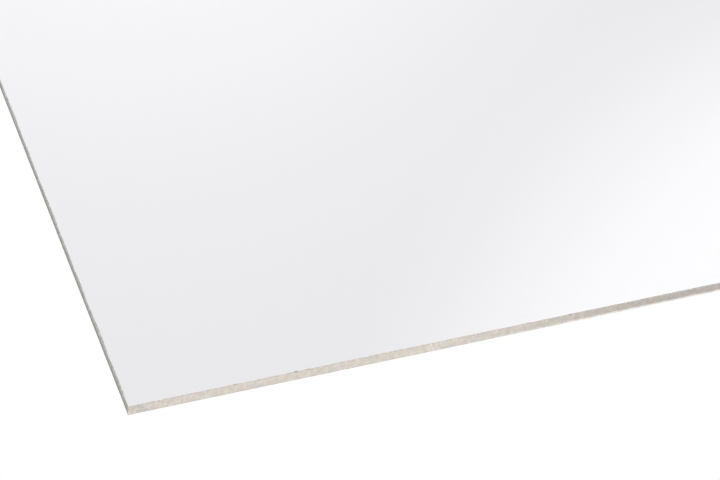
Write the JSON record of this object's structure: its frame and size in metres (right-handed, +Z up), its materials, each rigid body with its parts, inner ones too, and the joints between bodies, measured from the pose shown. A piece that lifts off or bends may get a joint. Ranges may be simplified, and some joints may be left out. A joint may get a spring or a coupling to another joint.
{
  "type": "clear acrylic sheet",
  "caption": "Flat rectangular sheet of clear acrylic with polished faces and square saw-cut edges, each with a narrow scraped arris.",
  "frame": {"origin": "centre of the underside, where the sheet rests on a level floor", "axes": "+X along the sheet's length, +Y along its width from the front cut to the back cut, +Z up through its thickness"},
  "size_m": [0.6, 0.4, 0.005],
  "materials": {
    "clear_acrylic": "polished"
  },
  "bodies": {
    "root": {"acrylic_sheet": "clear_acrylic"}
  },
  "joints": []
}
